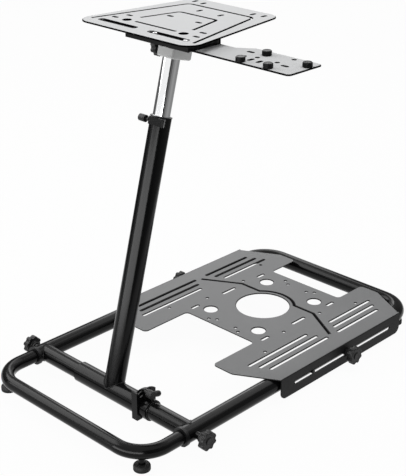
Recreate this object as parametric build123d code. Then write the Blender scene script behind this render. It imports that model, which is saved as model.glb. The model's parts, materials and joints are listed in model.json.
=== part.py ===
"""Racing wheel stand: a tubular floor frame with a leaning column, a wheel plate, a shifter plate
and a slotted pedal plate.

Millimetres. While the parts are built, X is the driver's right, Y runs forward from the driver to
the pedals and Z is up, with the tilt pivot above X = 0, Y = 0 and the floor at Z = 0. The last
step moves every part so that the origin is the centre of the bottom of the whole stand.
"""
from build123d import *
from math import cos, pi, radians, sin, sqrt
import os

# Floor frame
tube_height = 40.0          # axis of the floor tubes above the floor
frame_od = 38.0
frame_wall = 1.5
hoop_od = 30.0
hoop_wall = 1.5
side_spacing = 461.2        # between the axes of the two side tubes
bend_radius = 66.0          # centre line of the corner bends
front_reach = 135.7         # tilt pivot to the axis of the hoop's front run
rear_reach = 740.0          # tilt pivot to the axis of the rear run
frame_mouth = 22.0          # from the pivot to the side tubes' open ends, towards the driver
hoop_leg = 200.0            # straight leg of the hoop behind its bend
crossbar_od = 38.0
crossbar_wall = 2.0
slide_gap = 0.3             # radial clearance of everything that slides or turns

# Mouth bushings
bushing_od = 42.0
bushing_flange = 7.0
bushing_depth = 25.0

# Feet
pad_diameter = 35.0
pad_height = 13.0
pad_shoulder = 4.5          # rounding of the pad's upper edge
stud_diameter = 14.0

# Star knobs
star_diameter = 41.0
star_thickness = 14.0
star_lobes = 8
star_notch = 6.0            # radius of the hollow between two lobes
star_bevel = 1.2
hub_diameter = 21.0
crown_height = 1.5
screw_diameter = 8.0
star_reach = 33.0           # side tube's surface to the star's outer face
weld_nut_od = 17.0
weld_nut_height = 9.0

# Pedal plate
sheet = 2.5
flange_gap = 3.3            # side tube to the inside of the flange
plate_lift = 0.3            # gap between the side tubes and the plate
plate_front = 193.6         # front edge behind the pivot
plate_rear = 720.6
flange_depth = 51.0         # plate's top to the flange's lower edge
flange_corner = 16.0
flange_front = 248.0
flange_rear = 674.0
flange_slot_height = 11.0
flange_slot_front = 292.6
flange_slot_rear = 635.6
clamp_drop = 3.0            # the clamp screws' axis below the side tubes' axis
pedal_knob_y = 474.0
guide_pin_y = 354.0
guide_pin_diameter = 9.0
notch_half = 106.0          # half width of the front and rear notches
front_notch_y = 327.6
rear_notch_y = 631.6
corner_front_y = 246.0      # where the front chamfers meet the flanges
corner_rear_y = 668.0
chamfer_front = 93.4        # width of the front chamfers
chamfer_rear = 99.4
notch_corner = 10.0
lobe_corner = 14.0
hole_centre_y = 476.6
centre_hole = 127.0
relief_hole = 33.0
relief_x = 75.2
relief_y = 100.0
slot_width = 6.5
slot_margin = 46.9          # outermost slot from the flange's outside
slot_pitch = 21.0
front_slot_length = 196.0
rear_slot_length = 151.0
front_slot_y = 352.0        # middle of the middle front slot
rear_slot_y = 585.0
slot_stagger = 11.5
short_slot = 24.0
middle_slot = 44.0
short_slot_x = 110.0
short_slot_y = 117.0        # from the centre hole
slit_width = 5.5
slit_end_x = 202.0
slit_knee_x = 113.0
slit_rise = 51.0            # straight part of the slit, behind the centre hole's axis
slit_margin = 11.5          # arc of the slit from the centre hole's rim
screw_hole = 6.0
pedal_outer_x = 151.0       # outer screw holes, from the centre hole
pedal_outer_y = 163.0
pedal_inner_x = 46.0        # inner screw holes
pedal_inner_y = 137.3
pedal_side_x = 121.0        # screw holes beside the middle slots
pedal_side_y = 64.6
pedal_close_x = 29.0        # screw holes beside the inner ones
pedal_close_y = 127.0

# Tilt sleeve, index saddle and lock
sleeve_od = 45.0
sleeve_left = -104.0
sleeve_right = 86.0
saddle_width = 16.0
saddle_wall = 3.0
saddle_half = 26.5          # half of its length, driver's side to pedal side
saddle_drop = 21.5          # its lower edge below the pivot
saddle_front_rise = 43.0    # top of its front wall above the pivot
saddle_radius = 45.0        # rounded top of its slotted right cheek, about the pivot
saddle_low_radius = 38.0    # rounded top of its left cheek
lock_gap = 1.0              # index saddle to the lock ring
lock_width = 18.0
lock_od = 46.0
lock_lug_width = 7.0
lock_lug_half = 7.5
lock_bolt_radius = 38.0     # clamp bolt from the pivot axis
lock_bolt_angle = 3.0       # from upright, towards the driver
lock_bolt_diameter = 8.0
lock_head_diameter = 12.4
lock_head_height = 4.0
tilt_back = 15.0
tilt_forward = 20.0
tilt_spare = 1.5            # slot left over at each end of the tilt
lever_hub_diameter = 18.0
lever_hub_height = 15.5
lever_length = 20.0
lever_diameter = 13.0
lever_droop = 16.6          # lever below level when it is locked

# Column and post
lean = 15.0                 # column from upright, at rest
column_od = 44.0
column_wall = 2.0
column_top = 588.0          # along the column's axis from the pivot
post_od = 36.0
post_wall = 2.0
post_top = 707.0
post_bottom = 330.0
boss_height = 16.0          # threaded boss of the height clamp
boss_left = -8.0
boss_right = 36.0
boss_front = 28.0           # its face from the column's axis
boss_edge = 2.0
boss_side = 4.0             # where its slanting right end meets the column, ahead of the axis
height_knob_diameter = 15.0
height_knob_length = 17.0
height_knob_y = 25.0        # its axis from the column's axis
height_knob_edge = 0.4
height_stem_diameter = 6.0
height_stem_length = 8.0
cap_height = 2.0
cap_od = 45.5
cap_edge = 0.5
cap_depth = 30.0
glide_height = 14.0
glide_plug = 18.0
glide_bore = 18.0

# Head
head_width = 47.0
head_length = 31.0
head_front = 21.0           # its front face from the column's axis
head_rear = 33.5
head_edge = 4.5
head_base_edge = 2.5
head_spigot = 22.0          # plug inside the post
pivot_depth = 14.0          # tilt bolt below the head's top
head_slot_front = 16.0      # closed front end of the tongue's slot, from the column's axis
tongue_thickness = 12.0
tongue_gap = 0.4
tongue_radius = 13.0
tongue_start = 10.0         # tongue's top edge, from the tilt bolt
tongue_end = 74.0
head_bolt_diameter = 10.0
head_bolt_end = 18.0        # tip of the tilt bolt, to the right of the column's axis
head_knob_seat = 8.0

# Wheel plate
plate_rise = 54.7           # tilt bolt to the wheel plate's top
plate_ahead = 15.4          # tilt bolt to the middle of the plate's own drawing
wheel_plate_thickness = 3.0
wheel_front = 130.3         # front edge ahead of that middle
wheel_rear = 168.9
wheel_half_front = 163.0
wheel_half_rear = 118.0
wheel_front_corner = 32.0
wheel_rear_corner = 26.0
wheel_slit = 4.0
wheel_bolt_slot = 9.0
wheel_bolt_slot_length = 102.0
wheel_bolt_slot_x = 70.5
wheel_bolt_slot_y = 96.5
wheel_bolts = ((34.0, 96.5), (116.0, 96.5))
wheel_bolt_diameter = 8.0
wheel_sink = 2.0            # depth of the 45 degree countersink along the bolt slots
wheel_screw_low = 0.2       # screw's head below the plate's top
wheel_screw_gap = 0.1       # screw's head to the countersink
wheel_socket = 4.6          # across the corners of the screw's hexagon socket
wheel_screw_end = 2.5       # screw beyond its nut
wheel_nut_radius = 6.5
wheel_nut_height = 5.0
wheel_hole = 17.0
wheel_hole_x = 79.0
wheel_hole_y = 64.4
wheel_slot_width = 5.5
wheel_slot_length = 14.0
wheel_outer_x = 113.0       # outer pair of short slots
wheel_outer_y = 64.8        # ahead of the plate's middle
wheel_inner_x = 39.5        # inner pair of short slots
wheel_inner_y = 16.7        # behind the plate's middle
wheel_middle_x = 102.5      # middle pair of short slots
wheel_middle_y = 35.6
wheel_rear_slots = ((29.5, 90.2), (69.4, 142.4), (96.3, 145.3))
outer_slit = ((142.0, -101.0), (90.0, 121.0))
inner_slit = ((73.0, -32.0), (52.0, 56.0))
outer_slit_corner = 14.0
inner_slit_corner = 10.0
front_slit_y = 62.5
front_slit_length = 112.0
carrier_thickness = 3.0
carrier_width = 110.0
carrier_length = 120.0
carrier_start = 7.0
carrier_corner = 8.0

# Shifter plate
shifter_thickness = 3.0
shifter_drop = 16.0         # wheel plate's underside to the shifter plate's top
shifter_front = 114.0
shifter_arm_rear = 185.6
shifter_rear = 208.5
shifter_left = -38.0
shifter_right = 360.5
shifter_neck = 170.0        # where the arm starts to widen
shifter_shoulder = 203.0
shifter_corner = 9.0
shoulder_corner = 14.0
shifter_slot_width = 6.0
shifter_slot_length = 14.5
shifter_slots_across = ((212.0, 181.0), (318.5, 152.6))
shifter_slots_along = ((246.5, 142.0), (267.2, 142.6))
shifter_hole = 7.0
shifter_holes_x = 269.5     # middle of the pair of shifter holes
shifter_holes_y = 161.1
shifter_holes_apart = 47.6
shifter_spare_holes = ((221.5, 152.1), (303.0, 196.6))
spacer_right = 133.0
spacer_wall = 3.0
spacer_inset = 2.0
spacer_lead = 18.0          # the spacer's front ahead of the arm's
spacer_wing = 128.0         # how far its web reaches to the left
thumb_diameter = 18.5
thumb_height = 9.8
thumb_bevel = 1.0
thumb_screw = 6.0
thumb_places = ((241.0, 120.6), (305.0, 122.6), (248.0, 184.6), (351.0, 176.0))

# Derived places
side_x = side_spacing / 2
side_surface = side_x + frame_od / 2
plate_z = tube_height + frame_od / 2 + plate_lift
flange_x = side_surface + flange_gap + sheet
clamp_z = tube_height - clamp_drop
saddle_right = sleeve_right + saddle_width
lock_left = saddle_right + lock_gap
head_top = post_top + head_length
head_pivot = head_top - pivot_depth


def bar(start, end, diameter):
    """Solid round bar between two points."""
    start = Vector(*start)
    end = Vector(*end)
    run = end - start
    place = Plane(origin=start, z_dir=run)
    return extrude(place * Circle(diameter / 2), run.length)


def pipe(start, end, outer, wall):
    """Straight tube between two points."""
    run = Vector(*end) - Vector(*start)
    place = Plane(origin=start, z_dir=run)
    ring = Circle(outer / 2) - Circle(outer / 2 - wall)
    return extrude(place * ring, run.length)


def u_path(half, tip, leg, sign):
    """Centre line of a U bend: tip is its cross run's Y, and its legs end at Y = leg."""
    inner = half - bend_radius
    turn = tip + sign * bend_radius
    left_leg = Line((-half, leg, tube_height), (-half, turn, tube_height))
    left_bend = RadiusArc((-half, turn, tube_height), (-inner, tip, tube_height), -sign * bend_radius)
    cross = Line((-inner, tip, tube_height), (inner, tip, tube_height))
    right_bend = RadiusArc((inner, tip, tube_height), (half, turn, tube_height), -sign * bend_radius)
    right_leg = Line((half, turn, tube_height), (half, leg, tube_height))
    return Wire([left_leg, left_bend, cross, right_bend, right_leg])


def u_tube(path, outer, wall):
    """Tube of one section swept along a U-shaped centre line."""
    start = Plane(origin=path @ 0, z_dir=path % 0)
    ring = start * (Circle(outer / 2) - Circle(outer / 2 - wall))
    return sweep(ring, path=path)


def axis_point(along, across=0.0, side=0.0):
    """Point in the column's own directions: along its axis, across it to the front, and to a side."""
    tilt = radians(lean)
    y = along * sin(tilt) + across * cos(tilt)
    z = tube_height + along * cos(tilt) - across * sin(tilt)
    return Vector(side, y, z)


def pivot_point(side=0.0):
    """Point on the tilt bolt's axis."""
    return axis_point(head_pivot, 0, side)


def wheel_top():
    """Height of the wheel plate's top face."""
    return pivot_point().Z + plate_rise


def wheel_middle():
    """Y of the middle of the wheel plate's own drawing."""
    return pivot_point().Y + plate_ahead


def column_plane(along):
    """Plane square to the column's axis: its X is the driver's right and its Y points forward."""
    tilt = radians(lean)
    return Plane(origin=axis_point(along), x_dir=(1, 0, 0), z_dir=(0, sin(tilt), cos(tilt)))


# Floor frame


def welded_nut(side, y, z, end):
    """Nut welded on a side tube, from inside its wall out to a given X."""
    nut = bar((side * side_x, y, z), (side * end, y, z), weld_nut_od)
    reach = rear_reach - bend_radius
    return nut - bar((side * side_x, -frame_mouth, tube_height), (side * side_x, reach, tube_height),
                     frame_od - 2 * frame_wall)


def frame_tube():
    """Rear U of the frame, drilled for the clamp screws and the guide pins, with welded nuts."""
    path = u_path(side_x, rear_reach, -frame_mouth, -1)
    body = u_tube(path, frame_od, frame_wall)
    hole = screw_diameter + 2 * slide_gap
    for side in (-1, 1):
        body += welded_nut(side, 0, tube_height, side_surface + weld_nut_height)
        body += welded_nut(side, pedal_knob_y, clamp_z, flange_x - sheet - slide_gap)
        for y, z, bore in ((0, tube_height, hole), (pedal_knob_y, clamp_z, hole),
                           (guide_pin_y, clamp_z, guide_pin_diameter)):
            body -= bar((side * side_x, y, z), (side * (flange_x + star_reach), y, z), bore)
    return body


def crossbar():
    """Straight tube between the side tubes, its ends coped to their curve."""
    body = pipe((-side_x, 0, tube_height), (side_x, 0, tube_height), crossbar_od, crossbar_wall)
    for side in (-1, 1):
        body -= bar((side * side_x, -frame_od, tube_height), (side * side_x, frame_od, tube_height), frame_od)
    return max(body.solids(), key=lambda solid: solid.volume)


def bushing(side):
    """Flanged plastic bushing in a side tube's mouth, which the hoop slides through."""
    x = side * side_x
    inner = frame_od - 2 * frame_wall
    body = bar((x, -frame_mouth, tube_height), (x, -frame_mouth - bushing_flange, tube_height), bushing_od)
    body += bar((x, -frame_mouth - bushing_flange, tube_height),
                (x, -frame_mouth + bushing_depth - bushing_flange, tube_height), inner - 0.1)
    body -= bar((x, -frame_mouth - bushing_flange, tube_height),
                (x, -frame_mouth + bushing_depth, tube_height), hoop_od + 2 * slide_gap)
    return body


def front_hoop():
    """Front U that slides in the side tubes."""
    tip = -front_reach
    leg = tip + bend_radius + hoop_leg
    return u_tube(u_path(side_x, tip, leg, 1), hoop_od, hoop_wall)


def foot_place(side, end):
    """Middle of a corner bend, where a foot stands."""
    x = side * (side_x - bend_radius + bend_radius * cos(pi / 4))
    if end == "front":
        y = -front_reach + bend_radius - bend_radius * sin(pi / 4)
    else:
        y = rear_reach - bend_radius + bend_radius * sin(pi / 4)
    return x, y


def foot_pad(side, end):
    """Rubber pad: a low puck with a stepped, rounded shoulder."""
    x, y = foot_place(side, end)
    radius = pad_diameter / 2
    knee = pad_shoulder * (1 - sin(pi / 4))
    profile = Polyline((0, 0), (radius - 1, 0), (radius, 1), (radius, pad_height - pad_shoulder),
                       (radius - knee, pad_height - knee), (radius - pad_shoulder, pad_height),
                       (0, pad_height), close=True)
    return Pos(x, y, 0) * revolve(Plane.XZ * make_face(profile), Axis.Z)


def foot_stud(side, end):
    """Steel stud between a pad and the bend above it, its top hollowed to the tube's curve."""
    x, y = foot_place(side, end)
    outer = hoop_od if end == "front" else frame_od
    turn = side if end == "front" else -side
    along = Vector(1, turn, 0).normalized() * stud_diameter
    middle = Vector(x, y, tube_height)
    cutter = bar(middle - along, middle + along, outer + 2 * slide_gap)
    stud = bar((x, y, pad_height), (x, y, tube_height), stud_diameter) - cutter
    return min(stud.solids(), key=lambda solid: solid.center().Z)


# Star knobs


def star_profile():
    """Outline of a star knob: a disc with a hollow between every two lobes."""
    disc = Circle(star_diameter / 2)
    hollow = PolarLocations((star_diameter + star_notch) / 2, star_lobes) * Circle(star_notch)
    return disc - hollow


def star_knob(place, seat, tip):
    """Star knob on a screw. place lies on the seat with Z outwards; tip is the screw's reach."""
    grip = extrude(place.offset(seat) * star_profile(), star_thickness)
    grip = chamfer(grip.faces().sort_by(Axis(place.origin, place.z_dir))[-1].edges(), star_bevel)
    hub = extrude(place * Circle(hub_diameter / 2), seat)
    crown = extrude(place.offset(seat + star_thickness) * Circle(hub_diameter / 2 - 2), crown_height)
    screw = extrude(place * Circle(screw_diameter / 2), -tip)
    return grip + hub + crown + screw


def frame_knob(side):
    """Star knob that clamps one leg of the hoop."""
    seat_x = side_surface + weld_nut_height
    place = Plane(origin=(side * seat_x, 0, tube_height), z_dir=(side, 0, 0))
    stem = side_surface + star_reach - star_thickness - seat_x
    tip = seat_x - side_x - hoop_od / 2 - slide_gap
    return star_knob(place, stem, tip)


def pedal_knob(side):
    """Star knob that clamps the pedal plate's flange to a side tube."""
    seat_x = flange_x + slide_gap
    place = Plane(origin=(side * seat_x, pedal_knob_y, clamp_z), z_dir=(side, 0, 0))
    stem = side_surface + star_reach - star_thickness - seat_x
    tip = seat_x - side_surface + frame_wall
    return star_knob(place, stem, tip)


def guide_pin(side):
    """Headed pin in the side tube that keeps the pedal plate's flange in line."""
    start = (side * (side_surface - 2 * frame_wall), guide_pin_y, clamp_z)
    end = (side * (flange_x + frame_wall), guide_pin_y, clamp_z)
    return bar(start, end, guide_pin_diameter)


# Pedal plate


def pedal_outline():
    """Plan of the plate: straight flange sides, chamfered lobes, a notch front and rear."""
    lobe_front = flange_x - chamfer_front
    lobe_rear = flange_x - chamfer_rear
    right = [
        (0, front_notch_y), (notch_half, front_notch_y), (notch_half, plate_front),
        (lobe_front, plate_front), (flange_x, corner_front_y), (flange_x, corner_rear_y),
        (lobe_rear, plate_rear), (notch_half, plate_rear), (notch_half, rear_notch_y), (0, rear_notch_y),
    ]
    left = [(-x, y) for x, y in reversed(right[1:-1])]
    shape = make_face(Polyline(*(right + left), close=True))
    shape = fillet([v for v in shape.vertices() if abs(abs(v.X) - notch_half) < 0.1], notch_corner)
    lobes = [v for v in shape.vertices()
             if min(abs(abs(v.X) - lobe_front), abs(abs(v.X) - lobe_rear)) < 0.1]
    return fillet(lobes, lobe_corner)


def long_slots():
    """The twelve long slots in four groups of three, each group in echelon."""
    shapes = []
    for side in (-1, 1):
        for row in (-1, 0, 1):
            x = side * (flange_x - slot_margin - (row + 1) * slot_pitch)
            front = front_slot_y - row * slot_stagger
            rear = rear_slot_y + row * slot_stagger
            shapes.append(Pos(x, front) * SlotOverall(front_slot_length, slot_width, 90))
            shapes.append(Pos(x, rear) * SlotOverall(rear_slot_length, slot_width, 90))
    return shapes


def pedal_cuts():
    """Every cut in the plate's top but the slit: the holes and the slots."""
    shapes = [Pos(0, hole_centre_y) * Circle(centre_hole / 2)]
    screws = ((pedal_inner_x, pedal_inner_y), (pedal_outer_x, pedal_outer_y),
              (pedal_side_x, pedal_side_y), (pedal_close_x, pedal_close_y))
    for side in (-1, 1):
        shapes.append(Pos(side * short_slot_x, hole_centre_y) * SlotOverall(middle_slot, slot_width, 90))
        for end in (-1, 1):
            shapes.append(Pos(side * relief_x, hole_centre_y + end * relief_y) * Circle(relief_hole / 2))
            short = Pos(side * short_slot_x, hole_centre_y + end * short_slot_y)
            shapes.append(short * SlotOverall(short_slot, slot_width, 90))
            for x, y in screws:
                shapes.append(Pos(side * x, hole_centre_y + end * y) * Circle(screw_hole / 2))
    return shapes + long_slots()


def pedal_slit():
    """Slit that steps inwards from both sides and runs in an arc round the centre hole."""
    radius = centre_hole / 2 + slit_margin
    flat = hole_centre_y + slit_rise
    knee = sqrt(radius ** 2 - slit_rise ** 2)
    points = [(-slit_end_x, hole_centre_y), (-slit_knee_x, flat), (-knee, flat)]
    left = Polyline(*points)
    arc = ThreePointArc((-knee, flat), (0, hole_centre_y + radius), (knee, flat))
    right = Polyline(*[(-x, y) for x, y in reversed(points)])
    return trace(Wire([*left.edges(), arc, *right.edges()]), slit_width)


def pedal_flange(side):
    """Side flange with its long clamp slot."""
    top = plate_z + sheet
    low = top - flange_depth
    outline = Polyline((flange_front, top), (flange_rear, top), (flange_rear, low), (flange_front, low),
                       close=True)
    face = make_face(outline)
    face = fillet([v for v in face.vertices() if v.Y < plate_z], flange_corner)
    middle = (flange_slot_front + flange_slot_rear) / 2
    length = flange_slot_rear - flange_slot_front
    face -= Pos(middle, clamp_z) * SlotOverall(length, flange_slot_height)
    inner = min(side * flange_x, side * (flange_x - sheet))
    start = Plane(origin=(inner, 0, 0), x_dir=(0, 1, 0), z_dir=(1, 0, 0))
    return extrude(start * face, sheet)


def pedal_plate():
    """Pressed plate with two side flanges, in one sheet thickness, its outer bends rounded."""
    plan = pedal_outline() - pedal_cuts() - pedal_slit()
    body = extrude(Plane.XY.offset(plate_z) * plan, sheet) + pedal_flange(-1) + pedal_flange(1)
    corners = [e for e in body.edges().filter_by(Axis.Y)
               if abs(abs(e.center().X) - flange_x) < 0.01 and abs(e.center().Z - plate_z - sheet) < 0.01]
    return fillet(corners, sheet)


# Tilt sleeve, index saddle and lock


def tilt_sleeve():
    """Sleeve that turns on the crossbar and carries the column."""
    bore = crossbar_od + 2 * slide_gap
    body = pipe((sleeve_left, 0, tube_height), (sleeve_right, 0, tube_height), sleeve_od, (sleeve_od - bore) / 2)
    rims = [e for e in body.edges().filter_by(GeomType.CIRCLE) if e.radius > bore / 2 + 1]
    return chamfer(rims, 0.8)


def side_plane(x):
    """Plane square to X through the pivot: its X points forward and its Y up."""
    return Plane(origin=(x, 0, tube_height), x_dir=(0, 1, 0), z_dir=(1, 0, 0))


def lock_bolt_plane(x):
    """Plane square to X on the clamp bolt's axis."""
    angle = radians(lock_bolt_angle)
    y = -lock_bolt_radius * sin(angle)
    z = tube_height + lock_bolt_radius * cos(angle)
    return Plane(origin=(x, y, z), x_dir=(0, 1, 0), z_dir=(1, 0, 0))


def tilt_slot():
    """Curved slot for the clamp bolt, as long as the tilt, in a plane square to X."""
    start = 90 + lock_bolt_angle - tilt_back - tilt_spare
    sweep_angle = tilt_back + tilt_forward + 2 * tilt_spare
    arc = CenterArc((0, 0), lock_bolt_radius, start, sweep_angle)
    return SlotArc(arc, lock_bolt_diameter + 1)


def saddle_cheek(radius):
    """Side of the saddle, in a plane square to X: a round top about the pivot and a flat foot."""
    height = radius + saddle_drop
    block = Pos(0, height / 2 - saddle_drop) * Rectangle(2 * saddle_half, height)
    return (Circle(radius) & block) - Circle(crossbar_od / 2 + slide_gap)


def index_saddle():
    """Folded saddle on the sleeve's end: a low cheek, a slotted one and a wall towards the driver."""
    left = extrude(side_plane(sleeve_right) * saddle_cheek(saddle_low_radius), saddle_wall)
    right = extrude(side_plane(saddle_right) * (saddle_cheek(saddle_radius) - tilt_slot()), -saddle_wall)
    wall = Pos(-saddle_half + saddle_wall / 2, (saddle_front_rise - saddle_drop) / 2)
    wall *= Rectangle(saddle_wall, saddle_front_rise + saddle_drop)
    return left + right + extrude(side_plane(sleeve_right) * wall, saddle_width)


def lock_ring():
    """Ring welded to the crossbar with a lug that the clamp bolt goes through."""
    bore = Circle(crossbar_od / 2 + 0.05)
    ring = extrude(side_plane(lock_left) * (Circle(lock_od / 2) - bore), lock_width)
    bolt = lock_bolt_plane(lock_left)
    head = Pos(bolt.origin.Y, bolt.origin.Z - tube_height) * Circle(lock_lug_half)
    foot = Pos(0, lock_od / 4) * Rectangle(2 * lock_lug_half, lock_od / 2)
    lug = make_hull([*head.edges(), *foot.edges()]) - bore
    lug -= Pos(bolt.origin.Y, bolt.origin.Z - tube_height) * Circle(lock_bolt_diameter / 2 + slide_gap)
    return ring + extrude(side_plane(lock_left) * lug, lock_lug_width)


def lock_lever():
    """Clamp bolt with its round head, inside the saddle, and its short lever."""
    start = saddle_right - saddle_wall - slide_gap - lock_head_height
    hub_x = lock_left + lock_lug_width + slide_gap
    bolt = extrude(lock_bolt_plane(start) * Circle(lock_bolt_diameter / 2), hub_x - start + 1)
    head = extrude(lock_bolt_plane(start) * Circle(lock_head_diameter / 2), lock_head_height)
    hub = extrude(lock_bolt_plane(hub_x) * Circle(lever_hub_diameter / 2), lever_hub_height)
    hub = chamfer(hub.edges().filter_by(GeomType.CIRCLE), 1)
    middle = lock_bolt_plane(hub_x + lever_hub_height / 2).origin
    droop = radians(lever_droop)
    reach = Vector(0, cos(droop), -sin(droop))
    grip = bar(middle, middle + reach * (lever_length + lever_diameter / 2), lever_diameter)
    tip = grip.edges().filter_by(GeomType.CIRCLE).sort_by(Axis(middle, reach))[-1]
    return bolt + head + hub + fillet(tip, lever_diameter / 2 - 1)


# Column and post


def column_tube():
    """Leaning outer tube, coped on to the sleeve."""
    body = extrude(column_plane(0) * (Circle(column_od / 2) - Circle(column_od / 2 - column_wall)), column_top)
    body -= bar((sleeve_left, 0, tube_height), (sleeve_right, 0, tube_height), sleeve_od)
    return max(body.solids(), key=lambda solid: solid.volume)


def clamp_boss():
    """Threaded boss on the column's top edge, which the height knob's screw goes into."""
    place = column_plane(column_top - boss_height)
    heel = column_od / 2 - 1
    shape = make_face(Polyline((boss_left, 0), (boss_left, -boss_front), (boss_right, -boss_front),
                               (heel, -boss_side), (heel, 0), close=True))
    shape = fillet(shape.vertices().group_by(Axis.Y)[0], boss_edge)
    shape -= Circle(column_od / 2)
    body = extrude(place * shape, boss_height)
    return max(body.solids(), key=lambda solid: solid.volume)


def column_cap():
    """Guide cap in the column's mouth that the post slides through."""
    place = column_plane(column_top)
    inner = post_od / 2 + slide_gap
    body = extrude(place * (Circle(cap_od / 2) - Circle(inner)), cap_height)
    body = chamfer(body.edges().group_by(Axis(place.origin, place.z_dir))[-1].sort_by(SortBy.RADIUS)[-1], cap_edge)
    return body + extrude(place * (Circle(column_od / 2 - column_wall - 0.05) - Circle(inner)), -cap_depth)


def height_knob():
    """Round knob and its stem, at the left end of the boss."""
    centre = axis_point(column_top - boss_height / 2, -height_knob_y, boss_left - slide_gap)
    place = Plane(origin=centre, z_dir=(-1, 0, 0))
    stem = extrude(place * Circle(height_stem_diameter / 2), height_stem_length)
    grip = extrude(place.offset(height_stem_length) * Circle(height_knob_diameter / 2), height_knob_length)
    return stem + chamfer(grip.edges().filter_by(GeomType.CIRCLE), height_knob_edge)


def post_tube():
    """Bright inner tube that slides in the column."""
    ring = Circle(post_od / 2) - Circle(post_od / 2 - post_wall)
    return extrude(column_plane(post_bottom) * ring, post_top - post_bottom)


def post_glide():
    """Plastic plug at the post's lower end, which runs in the column."""
    place = column_plane(post_bottom)
    body = extrude(place * Circle(column_od / 2 - column_wall - slide_gap), -glide_height)
    body += extrude(place * Circle(post_od / 2 - post_wall - 0.05), glide_plug)
    return body - extrude(column_plane(post_bottom - glide_height) * Circle(glide_bore / 2),
                          glide_height + glide_plug)


# Head


def head_block():
    """Cast block on the post, slotted for the tongue of the plate carrier."""
    depth = head_front + head_rear
    middle = (head_rear - head_front) / 2
    place = column_plane(post_top)
    body = extrude(place * (Pos(0, middle) * RectangleRounded(head_width, depth, head_edge)), head_length)
    body = chamfer(body.edges().group_by(Axis(place.origin, place.z_dir))[0], head_base_edge)
    body += extrude(place * Circle(post_od / 2 - post_wall - 0.05), -head_spigot)
    slot_floor = head_pivot - tongue_radius - 1.5
    gap = tongue_thickness + 2 * tongue_gap
    run = head_slot_front + head_rear + 1
    slot = Pos(0, run / 2 - head_slot_front) * Rectangle(gap, run)
    body -= extrude(column_plane(slot_floor) * slot, head_length)
    left = pivot_point(-head_width)
    right = pivot_point(head_bolt_end + 0.5)
    return body - bar(left, right, head_bolt_diameter + 2 * slide_gap)


def head_knob():
    """Star knob and bolt that clamp the wheel plate's tilt."""
    seat = head_width / 2 + slide_gap
    place = Plane(origin=pivot_point(-seat), z_dir=(-1, 0, 0))
    body = star_knob(place, head_knob_seat, screw_diameter)
    return body + bar(pivot_point(-seat), pivot_point(head_bolt_end), head_bolt_diameter)


def tongue():
    """Upright tongue under the wheel plate that tilts in the head block."""
    bolt = pivot_point()
    top = wheel_top() - wheel_plate_thickness - carrier_thickness
    place = Plane(origin=(-tongue_thickness / 2, 0, 0), x_dir=(0, 1, 0), z_dir=(1, 0, 0))
    eye = Pos(bolt.Y, bolt.Z) * Circle(tongue_radius)
    edge = Line((bolt.Y + tongue_start, top), (bolt.Y + tongue_end, top))
    body = extrude(place * make_hull([*eye.edges(), *edge.edges()]), tongue_thickness)
    hole = head_bolt_diameter + 2 * slide_gap
    return body - bar(pivot_point(-tongue_thickness), pivot_point(tongue_thickness), hole)


def plate_carrier():
    """Plate bolted under the wheel plate, on top of the tongue."""
    low = wheel_top() - wheel_plate_thickness - carrier_thickness
    middle = pivot_point().Y + carrier_start + carrier_length / 2
    shape = Pos(0, middle) * RectangleRounded(carrier_width, carrier_length, carrier_corner)
    return extrude(Plane.XY.offset(low) * shape, carrier_thickness)


# Wheel plate


def wheel_outline():
    """Plan of the wheel plate: wider towards the driver, with round corners."""
    shape = make_face(Polyline((-wheel_half_front, -wheel_front), (wheel_half_front, -wheel_front),
                               (wheel_half_rear, wheel_rear), (-wheel_half_rear, wheel_rear), close=True))
    shape = fillet(shape.vertices().group_by(Axis.Y)[0], wheel_front_corner)
    return fillet([v for v in shape.vertices() if v.Y > wheel_rear - 1], wheel_rear_corner)


def open_slit(corners, radius):
    """Three-sided slit through two corners and their mirror images."""
    left = [(-x, y) for x, y in corners]
    path = FilletPolyline(*left, *reversed(corners), radius=radius)
    return trace(path, wheel_slit)


def wheel_slits():
    """Two nested three-sided slits and the straight one that closes the inner of them."""
    front = Pos(0, -front_slit_y) * SlotOverall(front_slit_length, wheel_slit)
    return [open_slit(outer_slit, outer_slit_corner), open_slit(inner_slit, inner_slit_corner), front]


def wheel_cuts():
    """Bolt slots, round holes and small mounting slots, in mirrored pairs."""
    shapes = []
    across = ((wheel_outer_x, -wheel_outer_y), (wheel_middle_x, -wheel_middle_y), (wheel_inner_x, wheel_inner_y))
    for side in (-1, 1):
        bolt_slot = SlotOverall(wheel_bolt_slot_length, wheel_bolt_slot)
        shapes.append(Pos(side * wheel_bolt_slot_x, -wheel_bolt_slot_y) * bolt_slot)
        shapes.append(Pos(side * wheel_hole_x, -wheel_hole_y) * Circle(wheel_hole / 2))
        for x, y in across:
            shapes.append(Pos(side * x, y) * SlotOverall(wheel_slot_length, wheel_slot_width))
        for x, y in wheel_rear_slots:
            shapes.append(Pos(side * x, y) * SlotOverall(wheel_slot_length, wheel_slot_width, 90))
    return shapes


def wheel_plate():
    """Flat plate that the steering wheel's base is bolted to."""
    place = Plane((0, wheel_middle(), wheel_top() - wheel_plate_thickness))
    body = extrude(place * (wheel_outline() - wheel_slits() - wheel_cuts()), wheel_plate_thickness)
    low = Plane((0, wheel_middle(), wheel_top() - wheel_sink))
    for side in (-1, 1):
        slot = Pos(side * wheel_bolt_slot_x, -wheel_bolt_slot_y) * SlotOverall(wheel_bolt_slot_length, wheel_bolt_slot)
        body -= extrude(low * slot, wheel_sink, taper=-45)
    return body


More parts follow.
